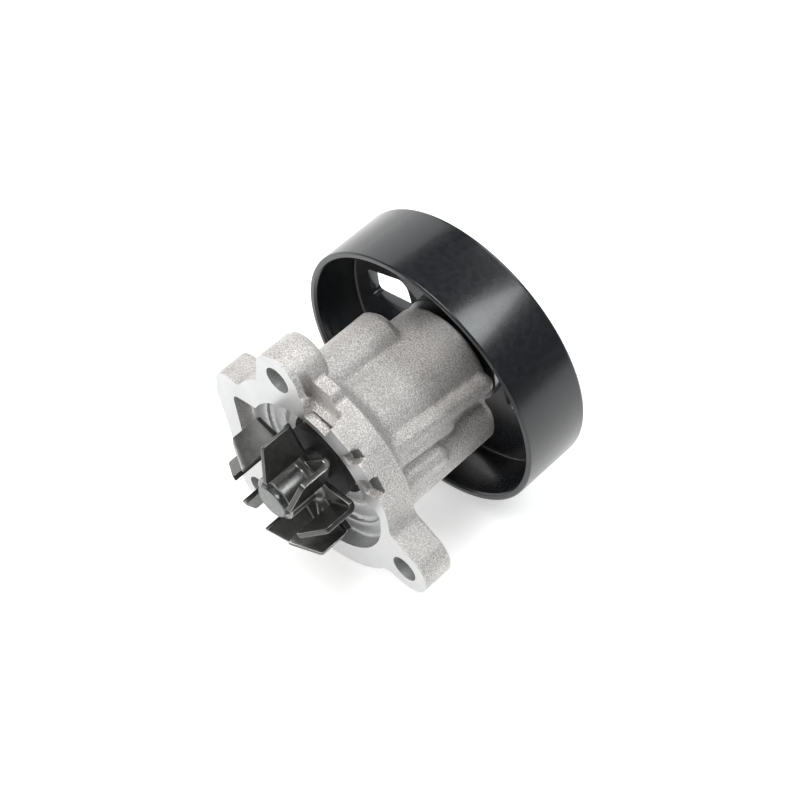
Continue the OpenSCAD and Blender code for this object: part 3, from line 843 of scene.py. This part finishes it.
class PUMP_OT_seals(bpy.types.Operator):
    """Finishes of the face seal, the slinger and the bearing's lip seals."""
    bl_idname = "pump.seals"
    bl_label = "Seals"

    def execute(self, context):
        rubber = finish("seal_rubber", (0.018, 0.018, 0.019), (0.035, 0.035, 0.036), 0.0007, (0.5, 0.7),
                        metallic=0.0, bump=0.3)
        pressed = finish("seal_cup_steel", (0.22, 0.22, 0.22), (0.34, 0.34, 0.335), 0.001, (0.22, 0.36),
                         bump=0.25, depth=0.00001, rings=2400.0)
        for node in ("front_bearing_seal", "rear_bearing_seal", "seal_bellows", "seal_mating_boot"):
            give(node, rubber)
        for node in ("seal_cup", "seal_ferrule"):
            give(node, pressed)
        give("slinger",
             finish("slinger_steel", (0.2, 0.2, 0.21), (0.3, 0.3, 0.31), 0.0009, (0.3, 0.45), bump=0.2,
                               depth=0.00001, rings=2000.0))
        give("seal_spring",
             finish("spring_wire", (0.42, 0.43, 0.45), (0.58, 0.59, 0.61), 0.0005, (0.2, 0.32), bump=0.2,
                                   depth=0.00001))
        give("seal_carbon_ring",
             finish("seal_carbon", (0.035, 0.035, 0.037), (0.07, 0.07, 0.072), 0.0004, (0.3, 0.5),
                                        metallic=0.0, bump=0.15))
        give("seal_mating_ring",
             finish("seal_ceramic", (0.62, 0.6, 0.54), (0.72, 0.7, 0.64), 0.0006, (0.3, 0.42),
                                        metallic=0.0, bump=0.1))
        return {"FINISHED"}


class PUMP_OT_stage(bpy.types.Operator):
    """A plain pale floor, soft light and the camera."""
    bl_idname = "pump.stage"
    bl_label = "Floor, light and camera"

    def execute(self, context):
        settings = context.scene.pump_stage
        scene = context.scene
        side = 3.0
        u = np.linspace(-side, side, 5)
        x, y = np.meshgrid(u, u, indexing="ij")
        points = np.stack([x, y, np.full_like(x, FLOOR_Z)], -1).reshape(-1, 3)
        mesh = bpy.data.meshes.new("floor")
        mesh.from_pydata(points.tolist(), [], grid_faces(5, 5)[:, ::-1].tolist())
        floor = bpy.data.objects.new("floor", mesh)
        scene.collection.objects.link(floor)
        mesh.materials.append(finish(
            "floor_card", scaled(settings.floor, 0.995), tuple(settings.floor), 0.02, (0.9, 0.95),
            metallic=0.0, blotch=0.3))
        shader = mesh.materials[0].node_tree.nodes["Principled BSDF"]
        shader.inputs["Emission Color"].default_value = (1, 1, 1, 1)
        shader.inputs["Emission Strength"].default_value = settings.glow
        self.lights(scene, settings)
        self.camera(scene)
        scene.view_settings.view_transform = "Standard"
        return {"FINISHED"}

    def lights(self, scene, settings):
        """A dim even surround and four soft lights: in front, behind, overhead and at the left."""
        world = bpy.data.worlds.new("surround")
        world.use_nodes = True
        world.node_tree.nodes["Background"].inputs["Color"].default_value = (1, 1, 1, 1)
        world.node_tree.nodes["Background"].inputs["Strength"].default_value = settings.ambient
        scene.world = world
        for name, place, size, power, colour in (
            ("key", (-0.2, -0.3, 1.05), 0.7, 10.5, (1, 0.99, 0.98)),
            ("back", (-0.1, 1.1, 0.8), 0.7, 5.0, (1, 1, 1)),
            ("overhead", (0.42, 0.46, 1.0), 0.42, 4.6, (0.95, 0.98, 1)),
            ("left", (-1.2, 0.45, 0.3), 1.0, 4.5, (1, 1, 1)),
        ):
            lamp = bpy.data.lights.new(name, "AREA")
            lamp.size = size
            lamp.energy = power * settings.power
            lamp.color = colour
            holder = bpy.data.objects.new(name, lamp)
            holder.location = place
            holder.rotation_euler = (Vector((0, 0.03, 0)) - Vector(place)).to_track_quat("-Z",
                                                                                         "Y").to_euler()
            scene.collection.objects.link(holder)

    def camera(self, scene):
        """A long lens looking down at the face and the open side of the pulley."""
        data = bpy.data.cameras.new("camera")
        data.lens = 90.0
        data.sensor_width = 36.0
        data.clip_start = 0.01
        camera = bpy.data.objects.new("camera", data)
        camera.matrix_world = Matrix((
            (0.7173, -0.5729, 0.3966, 0.25947),
            (0.6968, 0.5897, -0.4083, -0.22618),
            (0.0, 0.5692, 0.8222, 0.53432),
            (0.0, 0.0, 0.0, 1.0)))
        scene.collection.objects.link(camera)
        scene.camera = camera


class PUMP_PT_panel(bpy.types.Panel):
    """Lists the pieces in the order in which they are made."""
    bl_idname = "PUMP_PT_panel"
    bl_label = "Water pump"
    bl_space_type = "VIEW_3D"
    bl_region_type = "UI"
    bl_category = "Pump"

    def draw(self, context):
        for operator in OPERATORS:
            self.layout.operator(operator.bl_idname)
        for owner in SETTINGS:
            box = self.layout.box()
            for label in SETTINGS[owner].__annotations__:
                box.prop(getattr(context.scene, owner), label)


OPERATORS = (PUMP_OT_casting, PUMP_OT_impeller, PUMP_OT_pulley, PUMP_OT_bearing, PUMP_OT_seals,
             PUMP_OT_stage)
SETTINGS = {"pump_casting": CastingSettings, "pump_impeller": ImpellerSettings,
            "pump_pulley": PulleySettings, "pump_stage": StageSettings}
CLASSES = (*SETTINGS.values(), *OPERATORS, PUMP_PT_panel)


def register():
    for cls in CLASSES:
        bpy.utils.register_class(cls)
    for owner, cls in SETTINGS.items():
        setattr(bpy.types.Scene, owner, PointerProperty(type=cls))


def unregister():
    for owner in SETTINGS:
        delattr(bpy.types.Scene, owner)
    for cls in reversed(CLASSES):
        bpy.utils.unregister_class(cls)


def main():
    """Makes every piece in order."""
    register()
    for operator in OPERATORS:
        group, name = operator.bl_idname.split(".")
        getattr(getattr(bpy.ops, group), name)()


if __name__ == "__main__":
    main()
